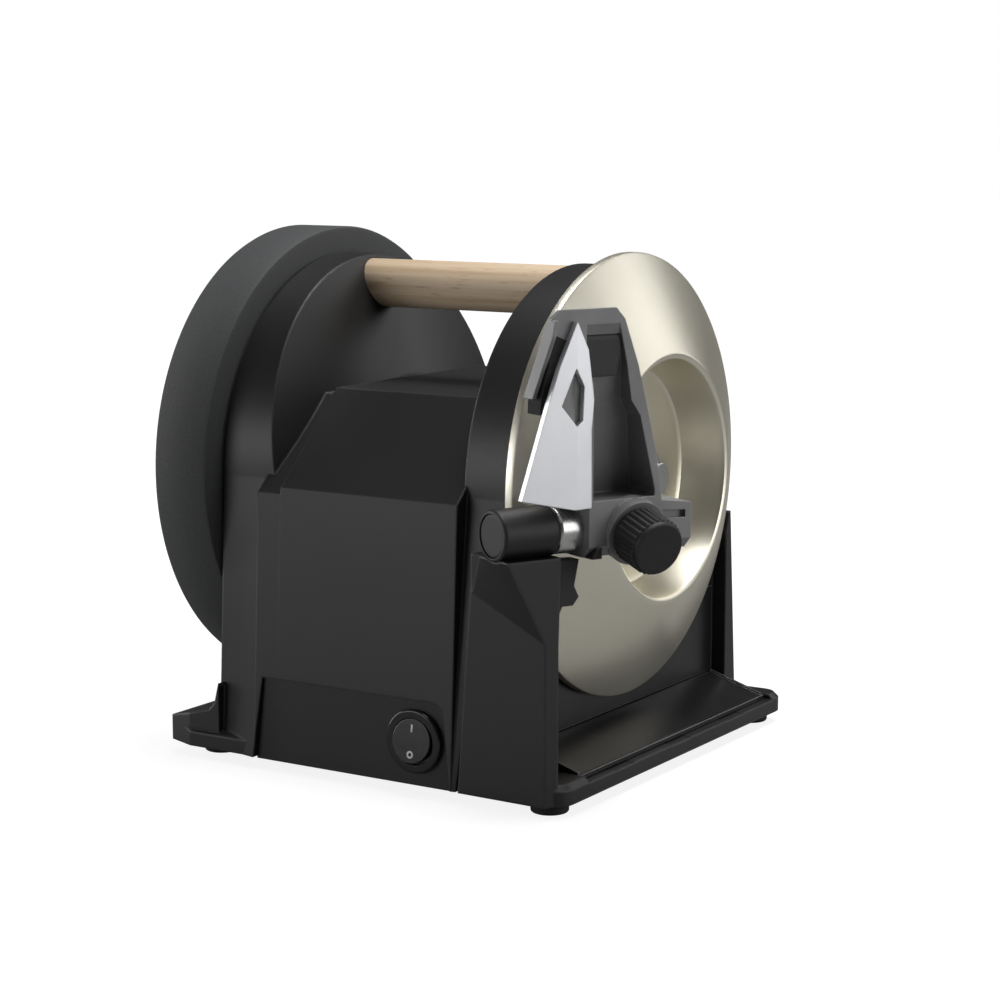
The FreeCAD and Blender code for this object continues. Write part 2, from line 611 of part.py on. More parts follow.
# Handle dowel with a bolt at each end
handle_right = arch_right + 5.5
bolt_depth = 14.0
handle = rod(handle_left, handle_right, handle_radius, 0, handle_z)
handle = soften(handle, 1.5, lambda e: abs(e.BoundBox.XMax - e.BoundBox.XMin) < 0.01)
handle = handle.cut(rod(handle_left - 1, handle_left + bolt_depth, handle_bolt_radius, 0, handle_z))
handle = handle.cut(rod(handle_right - bolt_depth, handle_right + 1, handle_bolt_radius, 0, handle_z))
handle_bolts = [rod(column_left + 0.5, handle_left + bolt_depth, handle_bolt_radius, 0, handle_z).fuse(
                    rod(column_left + 0.5, handle_left - 5.0, bolt_head_radius, 0, handle_z)),
                rod(handle_right - bolt_depth, wall_right - 3.2, handle_bolt_radius, 0, handle_z)]

# Rocker switch: bezel with its body, and the rocker on a cross pin
bezel_out = panel_face_y - 2.2
bezel = Part.makeCylinder(switch_radius, 2.2, V(switch_x, bezel_out, switch_z), V(0, 1, 0))
bezel = soften(bezel, 0.9, lambda e: abs(e.BoundBox.YMax - bezel_out) < 0.01)
bezel = bezel.fuse(Part.makeCylinder(switch_body_radius, 15.0, V(switch_x, panel_face_y, switch_z), V(0, 1, 0)))
switch_panel = panel_block(panel_gap, panel_face_y, panel_seat_y).cut(switch_body)
rocker_half_width = 6.4
rocker_radius = 8.6
rocker_clear = 0.35
well = Part.makeCylinder(rocker_radius + rocker_clear, 8.0, V(switch_x, bezel_out - 1, switch_z), V(0, 1, 0))
bezel = bezel.cut(well)
rocker_pivot_y = bezel_out + 2.6
pivot_radius = 1.3
bezel = bezel.cut(Part.makeCylinder(pivot_radius, 2 * switch_body_radius - 1.2, V(switch_x - switch_body_radius + 0.6, rocker_pivot_y, switch_z), V(1, 0, 0)))
rocker_tilt = 8.0
rocker_disc = rocker_radius - 0.4
rocker_front = bezel_out - 1.0
rocker = Part.makeCylinder(rocker_disc, 3.0, V(switch_x, rocker_front, switch_z), V(0, 1, 0))
dish = math.tan(math.radians(rocker_tilt)) * rocker_disc
for side in (-1, 1):
    wedge = prism_x([(rocker_front - 1, 0), (rocker_front + dish, 0), (rocker_front, side * rocker_disc),
                     (rocker_front - 1, side * rocker_disc)], switch_x - 20, switch_x + 20)
    rocker = rocker.cut(wedge)
rocker = rocker.fuse(Part.makeCylinder(2.6, 2 * (rocker_radius - 1.4), V(switch_x - rocker_radius + 1.4, rocker_pivot_y, switch_z), V(1, 0, 0)))
rocker = rocker.cut(Part.makeCylinder(pivot_radius + running_fit, 40, V(switch_x - 20, rocker_pivot_y, switch_z), V(1, 0, 0)))
rocker.rotate(V(switch_x, rocker_pivot_y, switch_z), V(1, 0, 0), -rocker_tilt)
rocker_pin = Part.makeCylinder(pivot_radius, 2 * switch_body_radius - 1.2, V(switch_x - switch_body_radius + 0.6, rocker_pivot_y, switch_z), V(1, 0, 0))

# Splash plate under the disc and the removable scrap tray
splash_thickness = 0.8
splash = box(wall_right, wall_right + splash_thickness, tray_front, tray_back, tray_top_z + 0.6, tray_top_z + 36)
tray_outline = [(tray_inner, tray_top_z - tray_sheet), (tray_inner, tray_top_z), (tray_outer, tray_edge_z),
                (tray_outer + 1.2, tray_edge_z), (tray_outer + 1.2, tray_edge_z - tray_sheet),
                (tray_outer, tray_edge_z - tray_sheet)]
tray = prism_y(tray_outline, tray_front, tray_back)
tray_lip = 0.8
for y0 in (tray_front, tray_back - 1.2):
    rim = [(tray_inner, tray_top_z), (tray_inner, tray_top_z + tray_lip), (tray_outer, tray_edge_z + tray_lip),
           (tray_outer, tray_edge_z)]
    tray = tray.fuse(prism_y(rim, y0, y0 + 1.2))
magnet_slope = (tray_top_z - tray_edge_z) / (tray_outer - tray_inner)
magnets = []
for y in (-45, 0, 45):
    low = tray_top_z - magnet_slope * (14 - tray_inner)
    magnet = prism_y([(4, low - tray_sheet - 1.6), (4, tray_top_z - magnet_slope * (4 - tray_inner) - tray_sheet),
                      (14, low - tray_sheet), (14, low - tray_sheet - 1.6)], y - 7, y + 7)
    magnets.append(magnet)
    slot = prism_y([(3, low - tray_sheet - 3.0), (3, tray_top_z), (base_right + 1, tray_top_z), (base_right + 1, low - tray_sheet - 3.0)],
                   y - 7.6, y + 7.6)
    housing = housing.cut(slot.common(box(0, base_right + 1, -60, 60, low - tray_sheet - 2.2, tray_top_z)))

# Hinge barrel on the post, with its screw, pin and bush
barrel = along_u(0, barrel_length, barrel_radius)
barrel = soften(barrel, 1.2, lambda e: abs(e.BoundBox.YMax - e.BoundBox.YMin) < 0.01)
plug_radius = 7.9
plug_depth = 3.0
barrel = barrel.cut(along_u(-1, plug_depth, plug_radius))
barrel_plug = soften(along_u(0.3, plug_depth, plug_radius), 0.8, lambda e: abs(e.BoundBox.YMax - 0.3) < 0.01)
barrel = barrel.cut(along_u(plug_depth - 1, barrel_length + 1, pin_radius + running_fit))
pin_end = 46.0
pin = along_u(plug_depth + body_gap, pin_end, pin_radius)
bush_left = barrel_length + body_gap
knuckle_radius = 8.6
frame_left = 33.0
bush = along_u(bush_left, frame_left, knuckle_radius).cut(along_u(bush_left - 1, frame_left + 1, pin_radius))
bush = soften(bush, 1.5, lambda e: abs(e.BoundBox.YMax - bush_left) < 0.01 and e.Length > 40)
barrel_screw = Part.makeCylinder(1.8, 12.0, V(barrel_offset, barrel_length - 6, barrel_z - pin_radius - 1.0 - 12.0), V(0, 0, 1))
barrel = barrel.cut(barrel_screw)
housing = housing.cut(to_machine(barrel_screw))

# Guide casting: an A frame in front, a leaning knife rest behind, open towards the front
lean = math.tan(math.radians(rest_angle))


def rest_n(z):
    return rest_offset + max(0.0, z - rest_start_z) * lean


def behind_rest(offset, u0=-10, u1=100):
    z1 = 90.0
    points = [(-30, -40), (rest_offset + offset, -40), (rest_offset + offset, rest_start_z),
              (rest_offset + offset + (z1 - rest_start_z) * lean, z1), (-30, z1)]
    return polygon_solid([V(n, u0, z) for n, z in points], V(0, u1 - u0, 0))


base_low = -18.0
leg_left = 26.5
guide_right = 77.0
frame_outline = [(frame_left, base_low), (frame_left, 0.0), (leg_left, 0.5), (leg_left, 58), (17, 62), (17, 67),
                 (20.5, 70), (44, 70), (47.6, 66), (53.5, 49.4), (56.7, 36.8), (61.2, 18.7), (64, 0.6),
                 (guide_right, -1.0), (guide_right, base_low)]
recess_outline = [(34.5, 2.4), (34.5, 44.0), (31.4, 49.0), (31.4, 68.2), (43.4, 68.2), (45.4, 64.5), (48.4, 51.3), (50.6, 37.2), (54.5, 31.5), (61.0, 4.6), (60.8, 2.4)]
frame = prism_n(frame_outline, rest_offset, guide_front)
frame = frame.cut(behind_rest(0))
recess = prism_n(recess_outline, 0, guide_front + 2).cut(behind_rest(web_thickness))
frame = frame.cut(recess)
base_round = polygon_solid([V(n, frame_left - 1, z) for n, z in ((guide_front + 1, base_low - 1), (guide_front - 5, base_low - 1),
                                                                 (guide_front + 1, base_low + 5))],
                           V(0, guide_right - frame_left + 2, 0))
frame = frame.cut(base_round)
frame = frame.cut(along_u(frame_left - 1, pin_end, pin_radius))
ledge = prism_n([(64.5, -6.0), (64.5, -3.0), (74.5, -3.6), (74.5, -6.4)], guide_front - 2, guide_front + 2)
frame = frame.cut(ledge)

# Strip, cushion and clamp block that steady the blade near the top of the frame
strip_outline = [(17.0, 66.5), (18.6, 66.5), (13.0, 39.5), (11.4, 39.5)]
strip = prism_n(strip_outline, 0, guide_front + 2).cut(behind_rest(0.2))
strip = strip.common(behind_rest(6.0))
frame = frame.fuse(strip)
cushion_outline = [(18.6, 67.0), (25.6, 67.0), (22.4, 50.0), (18.6, 36.0), (14.8, 33.6), (14.2, 38.0), (15.2, 48.0)]
cushion = prism_n(cushion_outline, 0, guide_front).cut(behind_rest(-0.6))
cushion = cushion.common(behind_rest(7.5)).cut(frame)
block_outline = [(34.5, 46.0), (33.3, 46.0), (31.4, 49.0), (31.4, 68.2), (43.4, 68.2), (45.4, 64.5), (46.9, 56.5), (44.6, 46.0)]
clamp_block = prism_n(block_outline, 0, guide_front - 1.0).cut(behind_rest(web_thickness))
plate_outline = [(26.0, 66.0), (18.7, 50.4), (13.9, 36.9), (3.4, 5.2), (25.2, 0.4), (32.8, 0.4), (32.6, 28.0),
                 (33.7, 38.5), (31.1, 56.0)]
guide_plate = prism_n(plate_outline, guide_front, guide_front + plate_thickness)
window_outline = [(19.6, 37.0), (25.6, 49.8), (29.2, 43.5), (28.6, 31.5), (26.0, 29.6)]
guide_plate = guide_plate.cut(prism_n(window_outline, guide_front - 1, guide_front + plate_thickness + 1))
ridge_u = 26.0
facet = polygon_solid([V(guide_front + plate_thickness, ridge_u, -5), V(guide_front + 0.8, 40, -5),
                       V(guide_front + 6, 40, -5)], V(0, 0, 90))
guide_plate = guide_plate.cut(facet)
plate_screw_points = [(30.0, 8.0), (29.0, 50.0)]
guide_screws = []
for u, z in plate_screw_points:
    screw = Part.makeCylinder(1.3, 9.0, V(guide_front - 7.5, u, z), V(1, 0, 0))
    guide_screws.append(screw)
    guide_plate = guide_plate.cut(screw)
    frame = frame.cut(screw)

# Lock knob on a stud square to the knife rest
knob_axis = V(math.cos(math.radians(rest_angle)), 0, -math.sin(math.radians(rest_angle)))
knob_seat = V(guide_front - 2.0, knob_u, knob_z)
boss_length = 3.2
boss = Part.makeCylinder(knob_radius + 1.6, boss_length + 4.0, knob_seat.sub(V(knob_axis).multiply(4.0)), knob_axis)
stud_radius = 2.5
stud_hole = Part.makeCylinder(stud_radius + running_fit, 40, knob_seat.sub(V(knob_axis).multiply(9.0)), knob_axis)
frame = frame.fuse(boss).cut(stud_hole)
knob_back = knob_seat.add(V(knob_axis).multiply(boss_length + body_gap))
knob = Part.makeCylinder(knob_radius - 0.5, knob_length, knob_back, knob_axis)
knob = soften(knob, 0.9, lambda e: e.Length > 20)
flute_count = 30
flute_radius = 0.75
flutes = []
side_axis = V(0, 1, 0)
up_axis = knob_axis.cross(side_axis)
for i in range(flute_count):
    angle = 2 * math.pi * i / flute_count
    offset = V(side_axis).multiply(math.cos(angle) * (knob_radius - 0.6)).add(V(up_axis).multiply(math.sin(angle) * (knob_radius - 0.6)))
    rib = Part.makeCylinder(flute_radius, knob_length - 3.0, knob_back.add(offset).add(V(knob_axis).multiply(1.0)), knob_axis)
    flutes.append(rib)
knob = knob.fuse(flutes)
stud = Part.makeCylinder(stud_radius, knob_length + boss_length - 2 + 5, knob_seat.sub(V(knob_axis).multiply(8.0)), knob_axis)
knob = knob.cut(stud)

# Pointer on the casting and the stepped angle bracket fixed under the barrel
pointer = polygon_solid([V(guide_front - 6, 33.5, base_low), V(guide_front - 6, 37.5, base_low), V(guide_front - 6, 37.5, base_low + 4),
                         V(guide_front - 6, 36.0, base_low + 4)], V(7.2, 0, 0)).cut(frame)
bracket_outline = [(barrel_length - 1.0, -19.0), (35.0, -19.5), (33.0, -29.0), (35.0, -33.0), (32.5, -36.0),
                   (28.0, -36.0), (26.5, -39.0), (barrel_length - 1.0, -39.0)]
bracket = prism_n(bracket_outline, barrel_offset - 3.0, barrel_offset + 2.5)
bracket = to_machine(bracket).cut(housing)

# Pieces of the assembly
pieces = {
    "housing": housing,
    "bottom_cover": cover,
    "cover_screws": cover_screws,
    "rubber_feet": feet,
    "shaft_bearings": bearings,
    "idler_bushes": idler_bushes,
    "gear_plate": gear_plate,
    "gear_plate_screws": plate_screws,
    "motor_stator": stator,
    "motor_coils": coil_ring,
    "motor_brackets": brackets,
    "motor_bolts": motor_bolts,
    "motor_spacers": spacers,
    "motor_bushes": motor_bushes,
    "run_capacitor": capacitor,
    "capacitor_saddle": cap_saddle,
    "terminal_block": terminal,
    "cord_gland": gland,
    "handle_dowel": handle,
    "handle_bolts": handle_bolts,
    "switch_panel": switch_panel,
    "switch_bezel": bezel,
    "switch_pin": rocker_pin,
    "switch_rocker": rocker,
    "splash_plate": splash,
    "hinge_barrel": to_machine(barrel),
    "barrel_plug": to_machine(barrel_plug),
    "barrel_screw": to_machine(barrel_screw),
    "angle_bracket": bracket,
    "wheel_shaft": shaft,
    "shaft_circlips": clips,
    "grinding_disc": disc,
    "disc_washer": disc_washer,
    "disc_nut": disc_nut,
    "honing_wheel": honing,
    "honing_hub": honing_hub,
    "honing_nut": honing_nut,
    "honing_collar": honing_collar,
    "wheel_gear": wheel_gear,
    "idler_gear": idler_gear,
    "idler_shaft": idler_shaft,
    "motor_rotor": rotor,
    "motor_shaft": motor_shaft,
    "motor_pinion": motor_pinion,
    "motor_fan": fan,
    "guide_frame": to_machine(frame),
    "guide_plate": to_machine(guide_plate),
    "guide_screws": [to_machine(s) for s in guide_screws],
    "guide_cushion": to_machine(cushion),
    "clamp_block": to_machine(clamp_block),
    "guide_pointer": to_machine(pointer),
    "hinge_pin": to_machine(pin),
    "hinge_bush": to_machine(bush),
    "lock_knob": to_machine(knob),
    "knob_stud": to_machine(stud),
    "scrap_tray": tray,
    "tray_magnets": magnets,
}

# Place everything with the floor at zero and the box centred on the origin, then write
whole = Part.makeCompound([s for shape in pieces.values() for s in (shape if isinstance(shape, list) else [shape])])
limits = whole.optimalBoundingBox(False, False)
shift = V(-limits.Center.x, -limits.Center.y, shaft_height)
os.makedirs("parts", exist_ok=True)
for name, shape in pieces.items():
    group = Part.makeCompound(shape) if isinstance(shape, list) else shape
    placed = group.copy()
    placed.translate(shift)
    if len(placed.Solids) == 1:
        placed = placed.Solids[0]
    placed.exportStep("parts/" + name + ".step")
    size = placed.BoundBox
    print("%-18s solids %d valid %s volume %.0f x %.1f..%.1f y %.1f..%.1f z %.1f..%.1f" % (
        name, len(placed.Solids), placed.isValid(), placed.Volume, size.XMin, size.XMax, size.YMin, size.YMax,
        size.ZMin, size.ZMax))
print("shift", shift, "box", limits)
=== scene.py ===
# %% [markdown]
# # An electric knife sharpener
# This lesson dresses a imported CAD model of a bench-top knife sharpener: finishes for
# every CAD node, and finer versions of the pieces that the eye rests on.
# Lengths are in metres and +Z is up. The front, with the switch, faces -Y.

# %% The frame
import json
import math
import bmesh
import bpy
from mathutils import Matrix, Vector
from mathutils.bvhtree import BVHTree


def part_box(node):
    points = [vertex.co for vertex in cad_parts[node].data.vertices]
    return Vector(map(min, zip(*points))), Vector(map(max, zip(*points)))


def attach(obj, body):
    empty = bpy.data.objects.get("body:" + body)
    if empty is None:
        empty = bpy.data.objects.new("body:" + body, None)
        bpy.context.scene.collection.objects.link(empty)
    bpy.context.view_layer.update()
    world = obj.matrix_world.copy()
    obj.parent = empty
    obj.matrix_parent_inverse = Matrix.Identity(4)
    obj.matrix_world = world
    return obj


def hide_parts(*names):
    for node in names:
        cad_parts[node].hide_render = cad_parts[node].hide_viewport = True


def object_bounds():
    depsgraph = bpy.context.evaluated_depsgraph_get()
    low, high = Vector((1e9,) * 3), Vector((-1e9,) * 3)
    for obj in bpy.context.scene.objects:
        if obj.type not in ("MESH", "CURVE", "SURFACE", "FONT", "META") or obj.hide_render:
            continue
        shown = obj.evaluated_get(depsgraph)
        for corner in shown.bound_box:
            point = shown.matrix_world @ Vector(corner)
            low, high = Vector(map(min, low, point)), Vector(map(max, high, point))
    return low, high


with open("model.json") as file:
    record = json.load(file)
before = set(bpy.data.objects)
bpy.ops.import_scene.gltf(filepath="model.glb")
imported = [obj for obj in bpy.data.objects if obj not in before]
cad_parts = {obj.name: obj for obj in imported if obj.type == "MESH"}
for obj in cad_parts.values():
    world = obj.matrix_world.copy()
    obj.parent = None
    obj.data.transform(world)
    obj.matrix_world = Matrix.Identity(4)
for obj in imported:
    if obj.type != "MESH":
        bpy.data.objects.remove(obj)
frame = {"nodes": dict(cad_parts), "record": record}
cad_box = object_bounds()
nodes = frame["nodes"]
print("CAD nodes:", len(nodes), "box:", cad_box)

# %% [markdown]
# The wheels turn on one shaft, and its height and depth could be copied from the CAD
# source by hand. They are read from the box of the grinding disc instead, so the finer
# pieces below follow the CAD model if it changes.

# %% Places read from the CAD nodes
disc_depth = 0.0181


def node_box(name):
    low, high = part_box(name)
    return Vector(low), Vector(high)


disc_low, disc_high = node_box("grinding_disc")
shaft_y = (disc_low.y + disc_high.y) / 2
shaft_z = (disc_low.z + disc_high.z) / 2
disc_radius = (disc_high.z - disc_low.z) / 2
disc_edge_x = disc_high.x - disc_depth
print("shaft axis y, z:", round(shaft_y, 4), round(shaft_z, 4), "disc radius:", round(disc_radius, 4))

# %% [markdown]
# The camera stands where the photographer stood: turned 32.3 degrees from the front
# towards the disc side and 8.9 degrees above level, with a long lens that flattens the
# perspective. Its place is measured from the middle of the disc's rim.

# %% Camera
camera_azimuth = math.radians(32.3)
camera_elevation = math.radians(8.9)
lens_mm = 88.2
film_mm = 36.0
camera_from_rim = Vector((0.4536, -0.8101, 0.1356))


def add_camera():
    data = bpy.data.cameras.new("studio_camera")
    data.lens = lens_mm
    data.sensor_width = film_mm
    data.clip_start = 0.01
    data.clip_end = 20.0
    camera = bpy.data.objects.new("studio_camera", data)
    bpy.context.scene.collection.objects.link(camera)
    level = math.cos(camera_elevation)
    back = Vector((math.sin(camera_azimuth) * level, -math.cos(camera_azimuth) * level,
                   math.sin(camera_elevation)))
    camera.location = Vector((disc_edge_x, shaft_y, shaft_z)) + camera_from_rim
    camera.rotation_euler = back.to_track_quat("Z", "Y").to_euler()
    bpy.context.scene.camera = camera
    return camera


camera = add_camera()
print("camera at", [round(v, 4) for v in camera.location])

# %% [markdown]
# Colours are written as sRGB hex values, as a paint chart gives them, and one function
# turns them to the linear numbers that shaders need. One more function adds any node with
# its settings and links, so each material below reads as a short recipe. Pattern sizes
# are real sizes in millimetres, and a third function turns them to a texture's scale.

# %% Colour and node helpers
number_a, number_b, colour_a, colour_b = 2, 3, 6, 7


def linear(hex_code):
    channels = [int(hex_code[i:i + 2], 16) / 255 for i in (1, 3, 5)]
    return [c / 12.92 if c <= 0.04045 else ((c + 0.055) / 1.055) ** 2.4 for c in channels] + [1.0]


def per_metre(size_mm):
    return 1000.0 / size_mm


def add_node(tree, kind, links=None, stops=(), **settings):
    node = tree.nodes.new(kind)
    for key, value in settings.items():
        if key.startswith("in_"):
            node.inputs[key[3:].replace("_", " ")].default_value = value
        else:
            setattr(node, key, value)
    for count, (position, hex_code) in enumerate(stops):
        elements = node.color_ramp.elements
        element = elements[count] if count < len(elements) else elements.new(position)
        element.position = position
        element.color = linear(hex_code)
    for socket, source in (links or {}).items():
        tree.links.new(source, node.inputs[socket])
    return node


def start_material(name, **shader_values):
    material = bpy.data.materials.new(name)
    material.use_nodes = True
    tree = material.node_tree
    tree.nodes.clear()
    shader = add_node(tree, "ShaderNodeBsdfPrincipled")
    for key, value in shader_values.items():
        shader.inputs[key.replace("_", " ")].default_value = value
    add_node(tree, "ShaderNodeOutputMaterial", {"Surface": shader.outputs["BSDF"]})
    coordinates = add_node(tree, "ShaderNodeTexCoord")
    return material, tree, shader, coordinates.outputs["Object"]


def feed(tree, shader, **sources):
    for key, source in sources.items():
        tree.links.new(source, shader.inputs[key.replace("_", " ")])


print("orange test colour:", [round(v, 3) for v in linear("#CC6600")])

# %% [markdown]
# The floor and backdrop are pale and plain, and could simply be lit until they are white.
# That much light would also wash out the dark plastic from below. So each kind of ray
# meets a level of its own: the camera sees white paper with a soft shadow that seats the
# rubber feet, and glossy and diffuse rays find a dim room, which leaves the undersides of
# the housing nearly black. The paper glows more with distance, so it ends in plain white.

# %% Floor and world
floor_half = 6.0
floor_gap = 0.0002
paper_near, paper_far = 0.86, 1.0
paper_near_reach, paper_far_reach = 0.25, 0.8
floor_in_gloss, floor_on_matte = 0.05, 0.02
room_in_gloss, room_on_matte = 0.05, 0.08


def ray_levels(tree, camera_level, glossy_level, diffuse_level):
    path = add_node(tree, "ShaderNodeLightPath")
    unseen = add_node(tree, "ShaderNodeMapRange", {"Value": path.outputs["Is Glossy Ray"]},
                      in_To_Min=diffuse_level, in_To_Max=glossy_level)
    level = add_node(tree, "ShaderNodeMix", {0: path.outputs["Is Camera Ray"],
                                             number_a: unseen.outputs["Result"], number_b: camera_level})
    return level.outputs[0]


def pale_floor():
    shape = bmesh.new()
    bmesh.ops.create_grid(shape, x_segments=2, y_segments=2, size=floor_half)
    mesh = bpy.data.meshes.new("studio_floor")
    shape.to_mesh(mesh)
    shape.free()
    floor = bpy.data.objects.new("studio_floor", mesh)
    bpy.context.scene.collection.objects.link(floor)
    floor.location.z = cad_box[0][2] - floor_gap
    material, tree, shader, place = start_material("pale_studio_floor", Roughness=0.9, Specular_IOR_Level=0.1,
                                                   Base_Color=linear("#898989"), Emission_Color=(1, 1, 1, 1))
    reach = add_node(tree, "ShaderNodeVectorMath", {0: place}, operation="LENGTH")
    paper = add_node(tree, "ShaderNodeMapRange", {"Value": reach.outputs["Value"]},
                     in_From_Min=paper_near_reach, in_From_Max=paper_far_reach,
                     in_To_Min=paper_near, in_To_Max=paper_far)
    glow = ray_levels(tree, paper.outputs["Result"], floor_in_gloss, floor_on_matte)
    feed(tree, shader, Emission_Strength=glow)
    mesh.materials.append(material)
    return floor


def studio_world():
    world = bpy.data.worlds.new("studio_world")
    bpy.context.scene.world = world
    world.use_nodes = True
    tree = world.node_tree
    tree.nodes.clear()
    white = add_node(tree, "ShaderNodeValue")
    white.outputs[0].default_value = 1.0
    strength = ray_levels(tree, white.outputs[0], room_in_gloss, room_on_matte)
    room = add_node(tree, "ShaderNodeBackground", {"Strength": strength}, in_Color=(1, 1, 1, 1))
    add_node(tree, "ShaderNodeOutputWorld", {"Surface": room.outputs["Background"]})
    return world


floor = pale_floor()
world = studio_world()
bpy.context.scene.view_settings.view_transform = "Standard"
print("floor at z", round(floor.location.z, 4), "world:", world.name)

# %% [markdown]
# Soft boxes stand in for a product studio, each with one task. The top box gives the
# handle its bright upper side, and hangs a little behind so the roof stays dim. The left
# panel keeps the faces turned that way from going black, and the front panel puts a sheen
# on the upright faces. The upper half of the silver disc mirrors the disc panel, which is
# seen in reflections only. The guide's bright plate mirrors the right panel. One strong
# lamp could light it all, but then the disc and the plate would mirror a dark room.

# %% Lamps
lamp_aim = Vector((0.0, 0.0, 0.11))


def soft_box(name, place, width, height, power, lights_matte=True):
    data = bpy.data.lights.new(name, "AREA")
    data.shape = "RECTANGLE"
    data.size = width
    data.size_y = height
    data.energy = power
    lamp = bpy.data.objects.new(name, data)
    bpy.context.scene.collection.objects.link(lamp)
    lamp.location = place
    lamp.rotation_euler = (Vector(place) - lamp_aim).to_track_quat("Z", "Y").to_euler()
    lamp.visible_diffuse = lights_matte
    return lamp


lamps = [
    soft_box("top_box", (0.15, 0.22, 1.35), 0.8, 0.8, 18.5),
    soft_box("left_panel", (-1.1, -0.22, 0.30), 0.45, 0.6, 4.2),
    soft_box("front_panel", (-0.75, -1.35, 0.33), 0.9, 0.5, 5.0),
    soft_box("disc_panel", (0.75, 1.15, 0.62), 0.9, 0.8, 3.0, lights_matte=False),
    soft_box("right_panel", (1.35, 0.25, 0.42), 0.9, 0.8, 5.5),
]
print("lamps:", [lamp.name for lamp in lamps])

# %% [markdown]
# Edges get a painted highlight: a paler colour laid along them stands in for the light
# that rounded edges catch. A painted mask could mark them, but it would
# have to be made for each of the CAD nodes. Instead, the Bevel node gives the normal of a
# slightly rounded surface, and where that turns away from the face's own normal there is
# an edge, so one recipe serves the plastics and most of the metals below.

# %% Painted edge highlights
edge_turn, flat_turn = 0.86, 0.985
edge_highlight_cover = 0.8


# Paints a highlight: mixes a paler colour into the base colour along edges, in place of the light that they
# catch
def painted_edge_highlight(tree, ground, rounded, highlight_hex):
    face = add_node(tree, "ShaderNodeNewGeometry")
    turn = add_node(tree, "ShaderNodeVectorMath", {0: rounded.outputs["Normal"], 1: face.outputs["Normal"]},
                    operation="DOT_PRODUCT")
    amount = add_node(tree, "ShaderNodeMapRange", {"Value": turn.outputs["Value"]}, in_From_Min=edge_turn,
                      in_From_Max=flat_turn, in_To_Min=edge_highlight_cover, in_To_Max=0.0)
    mixed = add_node(tree, "ShaderNodeMix", {0: amount.outputs["Result"], colour_a: ground}, data_type="RGBA")
    mixed.inputs[colour_b].default_value = linear(highlight_hex)
    return mixed.outputs[2]


print("edge recipe ready")

# %% [markdown]
# The housing is glass-filled nylon from a spark-eroded mould, which leaves a fine matte
# grain. Real grains are about 0.2 mm, too fine for the picture, so a noise draws them at
# 0.4 mm to break up the highlight. A faint mottle of about 70 mm keeps broad faces from
# looking like flat paint. The Bevel node also rounds each sharp CAD edge to the eye by
# about a millimetre, as on a real moulding.

# %% Moulded plastics
def moulded_plastic(name, dark, light, roughness, grain_mm=0.4, bump=0.06, edge_mm=0.9):
    material, tree, shader, place = start_material(name, IOR=1.5)
    mottle = add_node(tree, "ShaderNodeTexNoise", {"Vector": place}, in_Scale=per_metre(71.43), in_Detail=3.0)
    ground = add_node(tree, "ShaderNodeValToRGB", {"Fac": mottle.outputs["Fac"]},
                      ((0.35, dark), (0.65, light)))
    grain = add_node(tree, "ShaderNodeTexNoise", {"Vector": place}, in_Scale=per_metre(2 * grain_mm),
                     in_Detail=2.0)
    gloss = add_node(tree, "ShaderNodeMapRange", {"Value": grain.outputs["Fac"]}, in_To_Min=roughness - 0.05,
                     in_To_Max=roughness + 0.08)
    rounded = add_node(tree, "ShaderNodeBevel", in_Radius=edge_mm / 1000, samples=4)
    relief = add_node(tree, "ShaderNodeBump",
                      {"Height": grain.outputs["Fac"], "Normal": rounded.outputs["Normal"]},
                      in_Strength=bump, in_Distance=0.0002)
    # The paler colour along the edges, #4A4A4B, is a painted highlight
    feed(tree, shader, Base_Color=painted_edge_highlight(tree, ground.outputs["Color"], rounded, "#4A4A4B"),
         Roughness=gloss.outputs["Result"], Normal=relief.outputs["Normal"])
    return material


# The housing: near black, with soft corners made slightly pale by a painted highlight
housing_nylon = moulded_plastic("spark_eroded_nylon", "#171718", "#1C1C1D", 0.40, edge_mm=1.2)
# Small mouldings such as the barrel, knob and bracket: blacker and duller
black_nylon = moulded_plastic("fine_black_nylon", "#131313", "#181818", 0.5, grain_mm=0.3)
# The switch panel: matte, so it reads darker than the wall around it
panel_nylon = moulded_plastic("matte_panel_nylon", "#0F0F10", "#141415", 0.5, grain_mm=0.3, edge_mm=0.5)
# The rocker and its bezel: smooth and glossy, with sharp small highlights
gloss_switch = moulded_plastic("gloss_black_polycarbonate", "#161617", "#1A1A1B", 0.18, bump=0.01,
                               edge_mm=0.4)
# Gears, fan and terminal block inside: uncoloured acetal, ivory white
natural_acetal = moulded_plastic("natural_acetal", "#D9D4C2", "#E2DDCC", 0.4)
print("plastics:", [m.name for m in (housing_nylon, black_nylon, panel_nylon, gloss_switch, natural_acetal)])

# %% [markdown]
# The feet and the guide's cushion are moulded nitrile rubber, soft black and almost
# without gloss. It could share the nylon's recipe, but a speckle of paler dust at about
# 1 mm and a deeper relief keep the two blacks apart.

# %% Rubber
def moulded_rubber():
    material, tree, shader, place = start_material("nitrile_rubber", Roughness=0.78, IOR=1.52)
    speckle = add_node(tree, "ShaderNodeTexNoise", {"Vector": place}, in_Scale=per_metre(1.111),
                       in_Detail=4.0)
    dust = add_node(tree, "ShaderNodeValToRGB", {"Fac": speckle.outputs["Fac"]},
                    ((0.4, "#151515"), (0.75, "#262626")))
    relief = add_node(tree, "ShaderNodeBump", {"Height": speckle.outputs["Fac"]}, in_Strength=0.15,
                      in_Distance=0.0002)
    feed(tree, shader, Base_Color=dust.outputs["Color"], Normal=relief.outputs["Normal"])
    return material


nitrile_rubber = moulded_rubber()
print("rubber:", nitrile_rubber.name)
